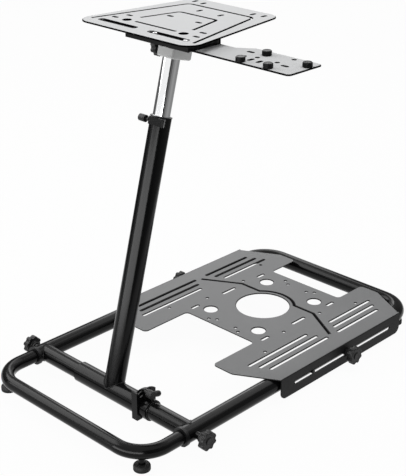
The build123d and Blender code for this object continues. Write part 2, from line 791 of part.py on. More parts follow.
def wheel_bolt(place):
    """Countersunk screw with its nut, through the wheel plate's slot and the spacer."""
    x, y = place[0], wheel_middle() - place[1]
    top = wheel_top() - wheel_screw_low
    rim = wheel_bolt_slot / 2 + wheel_sink - wheel_screw_low - wheel_screw_gap
    head = Pos(x, y, top - wheel_sink / 2) * Cone(rim - wheel_sink, rim, wheel_sink)
    seat = wheel_top() - wheel_plate_thickness - spacer_wall
    nut = extrude(Plane((x, y, seat)) * RegularPolygon(wheel_nut_radius, 6), -wheel_nut_height)
    low = seat - wheel_nut_height - wheel_screw_end
    screw = head + nut + bar((x, y, low), (x, y, top), wheel_bolt_diameter)
    return screw - extrude(Plane((x, y, top)) * RegularPolygon(wheel_socket / 2, 6), -wheel_sink)


# Shifter plate


def shifter_top():
    """Height of the shifter plate's top face."""
    return wheel_top() - wheel_plate_thickness - shifter_drop


def shifter_outline():
    """Plan of the side plate and its arm."""
    shape = make_face(Polyline((shifter_left, shifter_front), (shifter_right, shifter_front),
                               (shifter_right, shifter_rear), (shifter_shoulder, shifter_rear),
                               (shifter_neck, shifter_arm_rear), (shifter_left, shifter_arm_rear), close=True))
    shape = fillet([v for v in shape.vertices() if v.X > shifter_right - 1], shifter_corner)
    bend = [v for v in shape.vertices() if shifter_neck - 1 < v.X < shifter_shoulder + 1]
    return fillet(bend, shoulder_corner)


def shifter_cuts():
    """Slots and holes of the side plate."""
    slot = (shifter_slot_length, shifter_slot_width)
    shapes = [Pos(x, y) * SlotOverall(*slot) for x, y in shifter_slots_across]
    shapes += [Pos(x, y) * SlotOverall(*slot, 90) for x, y in shifter_slots_along]
    pair = [(shifter_holes_x + end * shifter_holes_apart / 2, shifter_holes_y) for end in (-1, 1)]
    shapes += [Pos(x, y) * Circle(shifter_hole / 2) for x, y in (*shifter_spare_holes, *pair)]
    shapes += [Pos(x, y) * Circle(thumb_screw / 2) for x, y in thumb_places]
    return shapes


def shifter_plate():
    """Side plate on an arm that is bolted under the wheel plate."""
    low = Plane.XY.offset(shifter_top() - shifter_thickness)
    return extrude(low * (shifter_outline() - shifter_cuts()), shifter_thickness)


def shifter_spacer():
    """Channel between the wheel plate and the shifter plate's arm, its web longer to the left."""
    front = shifter_front - spacer_lead
    rear = shifter_arm_rear - spacer_inset
    middle = (front + rear) / 2
    outer = Pos(middle, shifter_drop / 2) * Rectangle(rear - front, shifter_drop)
    inner = Pos(middle, (shifter_drop - spacer_wall) / 2)
    inner *= Rectangle(rear - front - 2 * spacer_wall, shifter_drop - spacer_wall)
    start = Plane(origin=(shifter_left, 0, shifter_top()), x_dir=(0, 1, 0), z_dir=(1, 0, 0))
    body = extrude(start * (outer - inner), spacer_right - shifter_left)
    web = Pos(middle, shifter_drop - spacer_wall / 2) * Rectangle(rear - front, spacer_wall)
    body += extrude(start * web, -(spacer_wing + shifter_left))
    for x, y in wheel_bolts:
        y = wheel_middle() - y
        body -= bar((x, y, wheel_top() - wheel_plate_thickness - 2 * spacer_wall), (x, y, wheel_top()),
                    wheel_bolt_diameter)
    return body


def thumb_nut(place):
    """Round thumb nut standing on the shifter plate, with its screw through it."""
    x, y = place
    body = extrude(Plane((x, y, shifter_top())) * Circle(thumb_diameter / 2), thumb_height)
    body = chamfer(body.edges().group_by(Axis.Z)[-1], thumb_bevel)
    return body + bar((x, y, shifter_top()), (x, y, shifter_top() - shifter_thickness), thumb_screw)


# Assembly


def all_parts():
    """Every named part in building coordinates."""
    parts = {
        "frame_tube": frame_tube(),
        "crossbar": crossbar(),
        "front_hoop": front_hoop(),
        "pedal_plate": pedal_plate(),
        "tilt_sleeve": tilt_sleeve(),
        "index_saddle": index_saddle(),
        "lock_ring": lock_ring(),
        "lock_lever": lock_lever(),
        "column_tube": column_tube(),
        "clamp_boss": clamp_boss(),
        "column_cap": column_cap(),
        "height_knob": height_knob(),
        "post_tube": post_tube(),
        "post_glide": post_glide(),
        "head_block": head_block(),
        "head_knob": head_knob(),
        "tongue": tongue(),
        "plate_carrier": plate_carrier(),
        "wheel_plate": wheel_plate(),
        "shifter_plate": shifter_plate(),
        "shifter_spacer": shifter_spacer(),
    }
    for side, name in ((-1, "left"), (1, "right")):
        parts["bushing_" + name] = bushing(side)
        parts["frame_knob_" + name] = frame_knob(side)
        parts["pedal_knob_" + name] = pedal_knob(side)
        parts["guide_pin_" + name] = guide_pin(side)
        for end in ("front", "rear"):
            parts["foot_" + end + "_" + name] = foot_pad(side, end)
            parts["foot_stud_" + end + "_" + name] = foot_stud(side, end)
    for number, place in enumerate(thumb_places, 1):
        parts["thumb_nut_" + str(number)] = thumb_nut(place)
    for number, place in enumerate(wheel_bolts, 1):
        parts["wheel_bolt_" + str(number)] = wheel_bolt(place)
    return parts


def main():
    """Build every part, move the set to its origin and write one file for each."""
    os.makedirs("parts", exist_ok=True)
    parts = all_parts()
    boxes = [part.bounding_box() for part in parts.values()]
    centre_x = (min(b.min.X for b in boxes) + max(b.max.X for b in boxes)) / 2
    centre_y = (min(b.min.Y for b in boxes) + max(b.max.Y for b in boxes)) / 2
    print("moved by", round(-centre_x, 3), round(-centre_y, 3))
    for name, part in parts.items():
        export_step(Pos(-centre_x, -centre_y, 0) * part, "parts/" + name + ".step")


main()
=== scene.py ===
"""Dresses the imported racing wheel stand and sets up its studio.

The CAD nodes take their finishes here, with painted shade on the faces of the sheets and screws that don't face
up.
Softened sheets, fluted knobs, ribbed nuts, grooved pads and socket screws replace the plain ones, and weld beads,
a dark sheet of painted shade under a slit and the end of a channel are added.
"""

import json
import logging
import math
from contextlib import contextmanager
from dataclasses import dataclass
from enum import Enum
from typing import Callable, Iterator, Sequence

import bmesh
import bpy
from mathutils import Matrix, Vector


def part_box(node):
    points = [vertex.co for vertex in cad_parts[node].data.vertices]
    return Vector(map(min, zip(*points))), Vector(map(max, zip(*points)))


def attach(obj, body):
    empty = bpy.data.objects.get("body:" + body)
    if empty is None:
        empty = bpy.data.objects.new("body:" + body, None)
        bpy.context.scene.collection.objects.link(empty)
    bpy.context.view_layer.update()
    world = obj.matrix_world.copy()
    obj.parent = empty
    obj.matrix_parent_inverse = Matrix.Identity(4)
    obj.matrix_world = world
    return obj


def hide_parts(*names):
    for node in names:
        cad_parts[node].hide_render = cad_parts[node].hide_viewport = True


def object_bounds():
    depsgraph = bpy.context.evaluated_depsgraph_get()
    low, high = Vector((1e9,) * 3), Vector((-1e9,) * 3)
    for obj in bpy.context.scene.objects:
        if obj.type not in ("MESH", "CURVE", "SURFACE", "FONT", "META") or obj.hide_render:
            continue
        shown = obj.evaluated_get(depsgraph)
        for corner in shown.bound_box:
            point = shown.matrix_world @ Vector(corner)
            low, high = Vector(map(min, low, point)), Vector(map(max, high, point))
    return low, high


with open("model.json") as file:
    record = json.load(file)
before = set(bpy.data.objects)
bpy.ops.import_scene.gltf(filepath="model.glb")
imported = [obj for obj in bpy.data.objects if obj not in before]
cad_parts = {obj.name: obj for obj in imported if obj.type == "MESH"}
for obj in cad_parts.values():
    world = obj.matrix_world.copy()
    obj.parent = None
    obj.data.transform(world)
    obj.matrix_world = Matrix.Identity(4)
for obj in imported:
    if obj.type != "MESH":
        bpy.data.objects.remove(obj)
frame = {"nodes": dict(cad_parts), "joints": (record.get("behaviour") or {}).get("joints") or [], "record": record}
cad_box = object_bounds()

MM = 0.001
NEAR = MM / 100
AS_BUILT = Matrix.Identity(4)
WHITE = (1.0, 1.0, 1.0, 1.0)
Piece = bpy.types.Object
Material = bpy.types.Material
Tree = bpy.types.NodeTree
Node = bpy.types.Node
Socket = bpy.types.NodeSocket
Colour = tuple[float, float, float]
log = logging.getLogger("wheel_stand")


class Slot(str, Enum):
    """The record's material slots."""

    FRAME = "frame_coat"
    COLUMN = "column_coat"
    PEDALS = "pedal_coat"
    WHEEL = "wheel_coat"
    SHIFTER = "shifter_coat"
    CHROME = "bright_chrome"
    CAST = "cast_head"
    KNOB = "knob_plastic"
    BUSHING = "bushing_plastic"
    RUBBER = "foot_rubber"
    ZINC = "zinc_steel"
    THUMB = "thumb_plastic"


class Side(Enum):
    """The driver's left and right, as the sign of X."""

    LEFT = -1
    RIGHT = 1

    @property
    def word(self) -> str:
        """The side's word in a node's name."""
        return self.name.lower()


# Places in the frame


def middle_of(node: str) -> Vector:
    """The middle of a CAD node's box, in metres."""
    low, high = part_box(node)
    return (low + high) / 2


def extent(node: str, axis: str) -> float:
    """The size of a CAD node's box along an axis, in millimetres."""
    low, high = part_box(node)
    return (getattr(high, axis) - getattr(low, axis)) / MM


def reach(node: str, side: Side) -> float:
    """How far the face on one side of a CAD node's box is from the stand's middle, in millimetres."""
    low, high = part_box(node)
    return abs((high if side is Side.RIGHT else low).x - CENTRE.x) / MM


def joint_fact(name: str, fact: str) -> Vector:
    """The axis, or the pos_m in metres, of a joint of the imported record."""
    return Vector(next(joint[fact] for joint in frame["joints"] if joint["name"] == name))


CENTRE = middle_of("crossbar")
COLUMN_AXIS = joint_fact("column_height", "axis").normalized()


# Node trees


class Wiring:
    """A node tree, with short ways to add nodes and to join them."""

    def __init__(self, tree: Tree) -> None:
        """Work on that tree."""
        self.tree = tree

    def add(self, kind: str, values: dict | None = None) -> Node:
        """Add a shader node.

        Args:
            kind: The node's type, without its ShaderNode.
            values: What to feed its inputs with.

        Returns:
            The node.
        """
        node = self.tree.nodes.new(f"ShaderNode{kind}")
        self.feed(node, values or {})
        return node

    def feed(self, node: Node, values: dict) -> None:
        """Set a node's inputs, or join them to other nodes.

        Args:
            node: The node.
            values: A number, a colour or an output socket for each input, by its name or its index.
        """
        for name, value in values.items():
            if isinstance(value, Socket):
                self.tree.links.new(value, node.inputs[name])
            else:
                node.inputs[name].default_value = value

    def place(self, group: Tree, values: dict | None = None) -> Node:
        """Put a shader group in the tree.

        Args:
            group: The group.
            values: What to feed its inputs with.

        Returns:
            The group's node.
        """
        node = self.add("Group")
        node.node_tree = group
        self.feed(node, values or {})
        return node

    def maths(self, operation: str, *values: "float | Socket") -> Socket:
        """Add a maths node.

        Args:
            operation: The operation's name.
            values: Numbers or sockets, in the node's order.

        Returns:
            The node's output socket.
        """
        node = self.add("Math")
        node.operation = operation
        self.feed(node, dict(enumerate(values)))
        return node.outputs[0]

    def colour(self, colour: Sequence[float]) -> Socket:
        """Add a plain colour.

        Args:
            colour: Red, green and blue, linear.

        Returns:
            The node's output socket.
        """
        node = self.add("RGB")
        node.outputs[0].default_value = (*colour, 1.0)
        return node.outputs[0]

    def blend(self, share: Socket, first: Socket, second: Socket) -> Socket:
        """Blend two colours.

        Args:
            share: How much of the second colour shows.
            first: The first colour.
            second: The second colour.

        Returns:
            The blended colour's socket.
        """
        mix = self.add("Mix")
        mix.data_type = "RGBA"
        self.feed(mix, {"Factor": share, "A": first, "B": second})
        return mix.outputs["Result"]

    def show(self, output: str, share: Socket, first: Node, second: Node) -> None:
        """Send a mix of two shaders to the tree's output.

        Args:
            output: The output node's name.
            share: How much of the second shader shows.
            first: The first shader's node.
            second: The second shader's node.
        """
        mix = self.add("MixShader", {0: share, 1: first.outputs[0], 2: second.outputs[0]})
        self.feed(self.tree.nodes[output], {"Surface": mix.outputs["Shader"]})


class ShaderGroup(Wiring):
    """A shader node group with named number inputs and outputs, built once."""

    def __init__(self, name: str, takes: dict[str, float], gives: Sequence[str]) -> None:
        """Start a group.

        Args:
            name: The group's name.
            takes: Its inputs, each with its value where a material sets none.
            gives: The names of its outputs.
        """
        super().__init__(bpy.data.node_groups.new(name, "ShaderNodeTree"))
        for word, value in takes.items():
            socket = self.tree.interface.new_socket(word, in_out="INPUT", socket_type="NodeSocketFloat")
            socket.default_value = value
        for word in gives:
            self.tree.interface.new_socket(word, in_out="OUTPUT", socket_type="NodeSocketFloat")
        self.taken = self.tree.nodes.new("NodeGroupInput").outputs
        self.given = self.tree.nodes.new("NodeGroupOutput")


def build_coat_grain() -> Tree:
    """Powder coat's orange peel: a broad, soft swell with a fine grain on it, and a slow change of shade.

    Returns:
        The group.
    """
    takes = {"Swell Scale": 260.0, "Grain Scale": 1500.0, "Grain Share": 0.4}
    group = ShaderGroup("Coat Grain", takes, ("Height", "Shade"))
    taken = group.taken
    place = group.add("TexCoord").outputs["Object"]
    swell = group.add("TexNoise", {"Vector": place, "Scale": taken["Swell Scale"], "Detail": 1.0})
    grain = group.add("TexVoronoi", {"Vector": place, "Scale": taken["Grain Scale"]})
    cloud = group.add("TexNoise", {"Vector": place, "Scale": 9.0, "Detail": 4.0})
    share = taken["Grain Share"]
    fine = group.maths("MULTIPLY", grain.outputs["Distance"], share)
    broad = group.maths("MULTIPLY", swell.outputs["Fac"], group.maths("SUBTRACT", 1.0, share))
    group.feed(group.given, {"Height": group.maths("ADD", fine, broad), "Shade": cloud.outputs["Fac"]})
    return group.tree


def build_settled_dust() -> Tree:
    """Dust that lies where a surface faces up, broken into soft patches.

    Returns:
        The group.
    """
    group = ShaderGroup("Settled Dust", {"Amount": 0.1, "Patch Scale": 14.0}, ("Mask",))
    place = group.add("TexCoord").outputs
    split = group.add("SeparateXYZ", {"Vector": place["Normal"]})
    scale = group.taken["Patch Scale"]
    patches = group.add("TexNoise", {"Vector": place["Object"], "Scale": scale, "Detail": 6.0})
    upward = group.maths("POWER", group.maths("MAXIMUM", split.outputs["Z"], 0.0), 2.0)
    patch = group.maths("MULTIPLY", group.maths("MULTIPLY", patches.outputs["Fac"], upward), 1.6)
    mask = group.maths("MINIMUM", group.maths("MULTIPLY", patch, group.taken["Amount"]), 1.0)
    group.feed(group.given, {"Mask": mask})
    return group.tree


def build_rubbed_lines() -> Tree:
    """Fine lines from handling or brushing, drawn out along X.

    Returns:
        The group.
    """
    group = ShaderGroup("Rubbed Lines", {"Scale": 60.0, "Stretch": 24.0}, ("Lines",))
    place = group.add("TexCoord").outputs["Object"]
    split = group.add("SeparateXYZ", {"Vector": place}).outputs
    stretch = group.taken["Stretch"]
    short = {axis: group.maths("MULTIPLY", split[axis], stretch) for axis in "YZ"}
    drawn = group.add("CombineXYZ", {"X": split["X"], **short}).outputs["Vector"]
    noise = group.add("TexNoise", {"Vector": drawn, "Scale": group.taken["Scale"], "Detail": 3.0})
    group.feed(group.given, {"Lines": noise.outputs["Fac"]})
    return group.tree


def new_material(name: str) -> tuple[Material, Wiring]:
    """Make a material with nodes.

    Args:
        name: The material's name.

    Returns:
        The material and its node tree.
    """
    material = bpy.data.materials.new(name)
    material.use_nodes = True
    return material, Wiring(material.node_tree)


# Finishes

DUST_COLOUR = (0.42, 0.41, 0.39)
# Faces whose normal leans further from straight up than this take a finish's rim colour, a painted shade.
LEVEL_NORMAL = 0.9


@dataclass(frozen=True)
class Finish:
    """One surface finish as a node material.

    Args:
        name: The material's name.
        colour: Base colour, linear.
        roughness: Mean roughness.
        spread: How far the roughness strays over the surface.
        metallic: Share of bare metal.
        specular: Specular level.
        grain: Scale of the fine grain, per metre.
        grain_share: Share of the grain in the height.
        depth: Depth of the height in metres.
        shade: How far the colour strays over the surface.
        dust: Amount of settled dust.
        lines: Strength of the rubbed lines.
        rim: A darker colour for every face that doesn't face up: painted shade on the edges, openings, folded
            sides and sloped heads, and the dark coat of the underside.
    """

    name: str
    colour: Colour
    roughness: float
    spread: float = 0.06
    metallic: float = 0.0
    specular: float = 0.5
    grain: float = 1500.0
    grain_share: float = 0.4
    depth: float = 0.00006
    shade: float = 0.12
    dust: float = 0.0
    lines: float = 0.0
    rim: Colour | None = None

    def build(self, groups: dict[str, Tree]) -> Material:
        """Make the material.

        Args:
            groups: The shader groups that the finishes share.

        Returns:
            The material.
        """
        material, wiring = new_material(self.name)
        values = {"Grain Scale": self.grain, "Grain Share": self.grain_share}
        grain = wiring.place(groups["grain"], values).outputs
        colour = self.stray(wiring, self.colour, grain["Shade"])
        # Painted shade: every face that doesn't face up takes the darker rim colour instead of the top colour.
        if self.rim is not None:
            rim = self.stray(wiring, self.rim, grain["Shade"])
            colour = wiring.blend(self.top_without_painted_shade(wiring), rim, colour)
        if self.dust > 0:
            dust = wiring.place(groups["dust"], {"Amount": self.dust})
            colour = wiring.blend(dust.outputs["Mask"], colour, wiring.colour(DUST_COLOUR))
        height, rough = grain["Height"], grain["Shade"]
        if self.lines > 0:
            rubbed = wiring.maths("MULTIPLY", wiring.place(groups["lines"]).outputs["Lines"], self.lines)
            height = wiring.maths("ADD", height, rubbed)
            rough = wiring.maths("ADD", rough, rubbed)
        bump = wiring.add("Bump", {"Distance": self.depth, "Height": height})
        wiring.feed(wiring.tree.nodes["Principled BSDF"], {
            "Base Color": colour,
            "Metallic": self.metallic,
            "Specular IOR Level": self.specular,
            "Roughness": wiring.maths("MULTIPLY_ADD", rough, 2 * self.spread, self.roughness - self.spread),
            "Normal": bump.outputs["Normal"],
        })
        material.diffuse_color = (*self.colour, 1.0)
        return material

    def stray(self, wiring: Wiring, colour: Colour, shade: Socket) -> Socket:
        """Let a colour stray a little, darker and lighter.

        Args:
            wiring: The material's node tree.
            colour: The colour to stray from.
            shade: A number that changes over the surface, about a half.

        Returns:
            The colour's socket.
        """
        low = wiring.colour([value * (1 - self.shade) for value in colour])
        high = wiring.colour([min(1.0, value * (1 + self.shade)) for value in colour])
        return wiring.blend(shade, low, high)

    def top_without_painted_shade(self, wiring: Wiring) -> Socket:
        """One where the surface is level and faces up, and nought elsewhere, where the rim colour paints shade."""
        split = wiring.add("SeparateXYZ", {"Vector": wiring.add("TexCoord").outputs["Normal"]})
        return wiring.maths("GREATER_THAN", split.outputs["Z"], LEVEL_NORMAL)


# The rim colours of the pedal, wheel, shifter and zinc finishes paint shade on edges, openings, folded sides and
# sloped heads, and give the undersides a dark coat.
FINISHES: dict[Slot, Finish] = {
    Slot.FRAME: Finish("Frame gloss black", (0.0035, 0.0035, 0.0038), 0.17, spread=0.03, specular=0.14,
        depth=0.000008, dust=0.012),
    Slot.COLUMN: Finish("Column gloss black", (0.004, 0.004, 0.0043), 0.18, spread=0.03, specular=0.14,
        depth=0.000008, dust=0.006),
    Slot.PEDALS: Finish("Pedal plate grey coat", (0.21, 0.212, 0.215), 0.50, specular=0.12, grain=1100.0,
        dust=0.03, rim=(0.014, 0.014, 0.0145)),
    Slot.WHEEL: Finish("Wheel plate silver", (0.71, 0.715, 0.72), 0.50, specular=0.0, depth=0.00003,
        shade=0.04, lines=0.3, rim=(0.003, 0.003, 0.0032)),
    Slot.SHIFTER: Finish("Shifter plate silver", (0.655, 0.66, 0.665), 0.50, specular=0.0, depth=0.00003,
        shade=0.04, lines=0.3, rim=(0.003, 0.003, 0.0032)),
    Slot.CHROME: Finish("Bright chrome", (0.86, 0.865, 0.87), 0.06, spread=0.02, metallic=1.0,
        depth=0.000001, shade=0.01),
    Slot.CAST: Finish("Cast head block", (0.63, 0.635, 0.63), 0.22, spread=0.02, specular=0.25,
        grain=900.0, depth=0.00001, shade=0.06),
    Slot.KNOB: Finish("Knob plastic", (0.009, 0.009, 0.0095), 0.42, specular=0.25, grain=1800.0,
        grain_share=0.8, depth=0.00004, dust=0.02),
    Slot.BUSHING: Finish("Bushing plastic", (0.008, 0.008, 0.0085), 0.36, specular=0.25, depth=0.00002,
        dust=0.015),
    Slot.RUBBER: Finish("Foot rubber", (0.009, 0.009, 0.0095), 0.6, specular=0.25, grain=1300.0,
        depth=0.00008, dust=0.04),
    Slot.ZINC: Finish("Zinc plate", (0.55, 0.55, 0.56), 0.30, metallic=1.0, grain=700.0, depth=0.00002,
        lines=0.3, rim=(0.01, 0.01, 0.0105)),
    Slot.THUMB: Finish("Thumb nut plastic", (0.007, 0.007, 0.0075), 0.4, specular=0.1, grain=1800.0,
        depth=0.00004),
}
PALE_TOP = Finish("Thumb nut top", (0.018, 0.0182, 0.0185), 0.45, specular=0.15, grain=1600.0,
    depth=0.00004, shade=0.1)
WELD = Finish("Painted weld", (0.004, 0.004, 0.0043), 0.28, specular=0.2, grain=600.0, depth=0.0001,
    dust=0.01)
# Painted shade: a near black, matte sheet just under the pedal plate's long slit, so that the slit looks dark.
SLIT_SHADE_SHEET = Finish("Slit painted shade", (0.005, 0.005, 0.0052), 0.85, specular=0.02, grain=900.0, depth=0.0001)


class Materials:
    """Every material of the stand, by slot."""

    def __init__(self) -> None:
        """Build the shared groups and the materials."""
        groups = {"grain": build_coat_grain(), "dust": build_settled_dust(), "lines": build_rubbed_lines()}
        self.by_slot = {slot: finish.build(groups) for slot, finish in FINISHES.items()}
        self.pale_top = PALE_TOP.build(groups)
        self.weld = WELD.build(groups)
        self.shade_sheet = SLIT_SHADE_SHEET.build(groups)

    def dress_frame(self) -> None:
        """Give each carried-over CAD node the finish of its own slot."""
        for part in frame["record"]["subparts"]:
            node = frame["nodes"][part["node"]]
            node.data.materials.clear()
            node.data.materials.append(self.by_slot[Slot(part["material_slot"])])


# Modelling


def select_only(*pieces: Piece) -> None:
    """Select some pieces and no others.

    Args:
        pieces: The pieces. The first one becomes the active one.
    """
    bpy.ops.object.select_all(action="DESELECT")
    for piece in pieces:
        piece.select_set(True)
    bpy.context.view_layer.objects.active = pieces[0]


@contextmanager
def editing(piece: Piece) -> Iterator[None]:
    """Edit mode on one piece, with nothing selected.

    Args:
        piece: The piece to edit.
    """
    select_only(piece)
    bpy.ops.object.mode_set(mode="EDIT")
    bpy.ops.mesh.select_all(action="DESELECT")
    yield
    bpy.ops.object.mode_set(mode="OBJECT")
    piece.select_set(False)


def pick(piece: Piece, kind: str, test: Callable[..., bool]) -> None:
    """Select what passes a test, and nothing else, in edit mode.

    Args:
        piece: The piece in edit mode.
        kind: VERT, EDGE or FACE.
        test: Gets a vertex's place, an edge's two places, or a face's middle and normal.
    """
    bpy.ops.mesh.select_mode(type=kind)
    bpy.ops.mesh.select_all(action="DESELECT")
    mesh = bmesh.from_edit_mesh(piece.data)
    if kind == "VERT":
        facts = [(vert, (vert.co,)) for vert in mesh.verts]
    elif kind == "EDGE":
        facts = [(edge, (edge.verts[0].co, edge.verts[1].co)) for edge in mesh.edges]
    else:
        facts = [(face, (face.calc_center_median(), face.normal)) for face in mesh.faces]
    for element, places in facts:
        element.select = test(*places)
    mesh.select_flush_mode()
    bmesh.update_edit_mesh(piece.data)


def pick_top(piece: Piece) -> float:
    """Select a piece's level top in edit mode.

    Args:
        piece: The piece in edit mode.

    Returns:
        The top's height in metres.
    """
    top = max(vert.co.z for vert in bmesh.from_edit_mesh(piece.data).verts)
    pick(piece, "FACE", lambda middle, normal: middle.z > top - NEAR and normal.z > 0.99)
    return top


def lift(rise: float) -> None:
    """Move the selection up, in millimetres."""
    bpy.ops.transform.translate(value=(0, 0, rise * MM))


def extrude(rise: float) -> None:
    """Extrude the selection upwards, in millimetres."""
    bpy.ops.mesh.extrude_region_move(TRANSFORM_OT_translate={"value": (0, 0, rise * MM)})


def widen(scale: float, height: float = 0.0) -> None:
    """Scale the selection away from the Z axis, about a height in millimetres."""
    bpy.ops.transform.resize(value=(scale, scale, 1), center_override=(0, 0, height * MM))


def inset(edge: float, depth: float = 0.0, each: bool = False) -> None:
    """Inset the selected faces, as one region or each by itself, in millimetres."""
    bpy.ops.mesh.inset(thickness=edge * MM, depth=depth * MM, use_individual=each)


def face_outwards() -> None:
    """Turn the front of every face outwards, in edit mode."""
    bpy.ops.mesh.select_all(action="SELECT")
    bpy.ops.mesh.normals_make_consistent(inside=False)


def turned(name: str, steps: Sequence[tuple[float, float]], sides: int = 48) -> Piece:
    """A turned body about Z, raised ring by ring from its lowest face.

    Args:
        name: The piece's name.
        steps: Radius and height of each ring in millimetres, from the bottom up.
        sides: Number of sides.

    Returns:
        The piece, closed at both ends.
    """
    radius, height = steps[0]
    bpy.ops.mesh.primitive_circle_add(
        vertices=sides, radius=radius * MM, fill_type="NGON", location=(0, 0, height * MM)
    )
    piece = bpy.context.active_object
    piece.name = name
    bpy.ops.object.transform_apply(location=True)
    with editing(piece):
        bpy.ops.mesh.select_all(action="SELECT")
        for next_radius, next_height in steps[1:]:
            extrude(next_height - height)
            widen(next_radius / radius, next_height)
            radius, height = next_radius, next_height
        face_outwards()
    return piece


def plain_screw(radius: float, length: float, chamfer: float, top: float = 1.0, sides: int = 24) -> Piece:
    """A screw's shank or a stem, chamfered at its lower end.

    Args:
        radius: The shank's radius in millimetres.
        length: How far it reaches below Z = 0.
        chamfer: The size of the chamfer.
        top: The height of its upper end, inside the head.
        sides: Number of sides.

    Returns:
        The shank.
    """
    return turned("shank", [(radius - chamfer, -length), (radius, chamfer - length), (radius, top)], sides)


def joined(name: str, *pieces: Piece) -> Piece:
    """Join several pieces into the first of them.

    Args:
        name: The name of the whole.
        pieces: The pieces.

    Returns:
        The first piece, which now holds them all.
    """
    select_only(*pieces)
    bpy.ops.object.join()
    pieces[0].name = name
    return pieces[0]


def copied(piece: Piece, name: str) -> Piece:
    """Copy a piece with a mesh of its own.

    Args:
        piece: The piece to copy.
        name: The copy's name.

    Returns:
        The copy.
    """
    copy = piece.copy()
    copy.data = piece.data.copy()
    copy.name = name
    bpy.context.scene.collection.objects.link(copy)
    return copy


def from_cad(node: str, name: str) -> Piece:
    """A CAD node's mesh as a piece of its own, without doubled points or stored normals.

    Args:
        node: The CAD node.
        name: The piece's name.

    Returns:
        The piece.
    """
    piece = bpy.data.objects.new(name, frame["nodes"][node].data.copy())
    bpy.context.scene.collection.objects.link(piece)
    with editing(piece):
        bpy.ops.mesh.customdata_custom_splitnormals_clear()
        bpy.ops.mesh.select_all(action="SELECT")
        bpy.ops.mesh.remove_doubles(threshold=NEAR)
    return piece


def off_pitch(place: Vector, pitch: float) -> float:
    """Angle about Z between a point and the nearest whole pitch, in radians."""
    turn = math.atan2(place.y, place.x) % pitch
    return min(turn, pitch - turn)


def level_place(place: Vector) -> tuple[float, float]:
    """A point's place in plan, rounded to the hundredth of a millimetre."""
    return round(place.x, 5), round(place.y, 5)


def rims(mesh: bmesh.types.BMesh) -> list[set[bmesh.types.BMVert]]:
    """The closed loops round the selected faces.

    Args:
        mesh: The mesh in edit mode.

    Returns:
        Each loop's vertices, from the loop that reaches across least to the one that reaches most.
    """
    loops: list[set[bmesh.types.BMVert]] = []
    for edge in mesh.edges:
        if sum(face.select for face in edge.link_faces) == 1:
            ends = set(edge.verts)
            touched = [loop for loop in loops if loop & ends]
            loops = [loop for loop in loops if not loop & ends]
            loops.append(ends.union(*touched))
    return sorted(loops, key=lambda loop: max(vert.co.x for vert in loop) - min(vert.co.x for vert in loop))


def over(node: str, height: float) -> Matrix:
    """Place over the middle of a CAD node, at a height in metres."""
    middle = middle_of(node)
    return Matrix.Translation((middle.x, middle.y, height))


def standing(origin: Vector, outward: Vector) -> Matrix:
    """Place whose Z points outward from a point.

    Args:
        origin: Where the piece's own origin goes, in metres.
        outward: The direction of its Z.

    Returns:
        The placing matrix.
    """
    turn = outward.normalized().to_track_quat("Z", "Y").to_matrix().to_4x4()
    return Matrix.Translation(origin) @ turn


@dataclass
class Assembly:
    """A sub-assembly of the stand, which dresses what it models."""

    materials: Materials
    smooth_angle: float = math.radians(32)

    def settle(
        self, piece: Piece, place: Matrix, body: str, slot: Slot, nodes: Sequence[str] = (),
        looks: Sequence[Material] = (),
    ) -> None:
        """Put a finished piece in its place, dress it and let it ride on its body.

        Args:
            piece: The piece, modelled about its own origin.
            place: Its place in the stand.
            body: The CAD body that carries it.
            slot: The record's slot that it takes its finish from.
            nodes: The CAD nodes that it replaces.
            looks: Its materials by its faces' indices, where they aren't the slot's own.
        """
        piece.data.transform(place)
        piece.data.materials.clear()
        for material in looks or [self.materials.by_slot[slot]]:
            piece.data.materials.append(material)
        select_only(piece)
        bpy.ops.object.shade_smooth_by_angle(angle=self.smooth_angle)
        if nodes:
            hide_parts(*nodes)
        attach(piece, body)
        log.info("%s rides on %s", piece.name, body)


# Plates


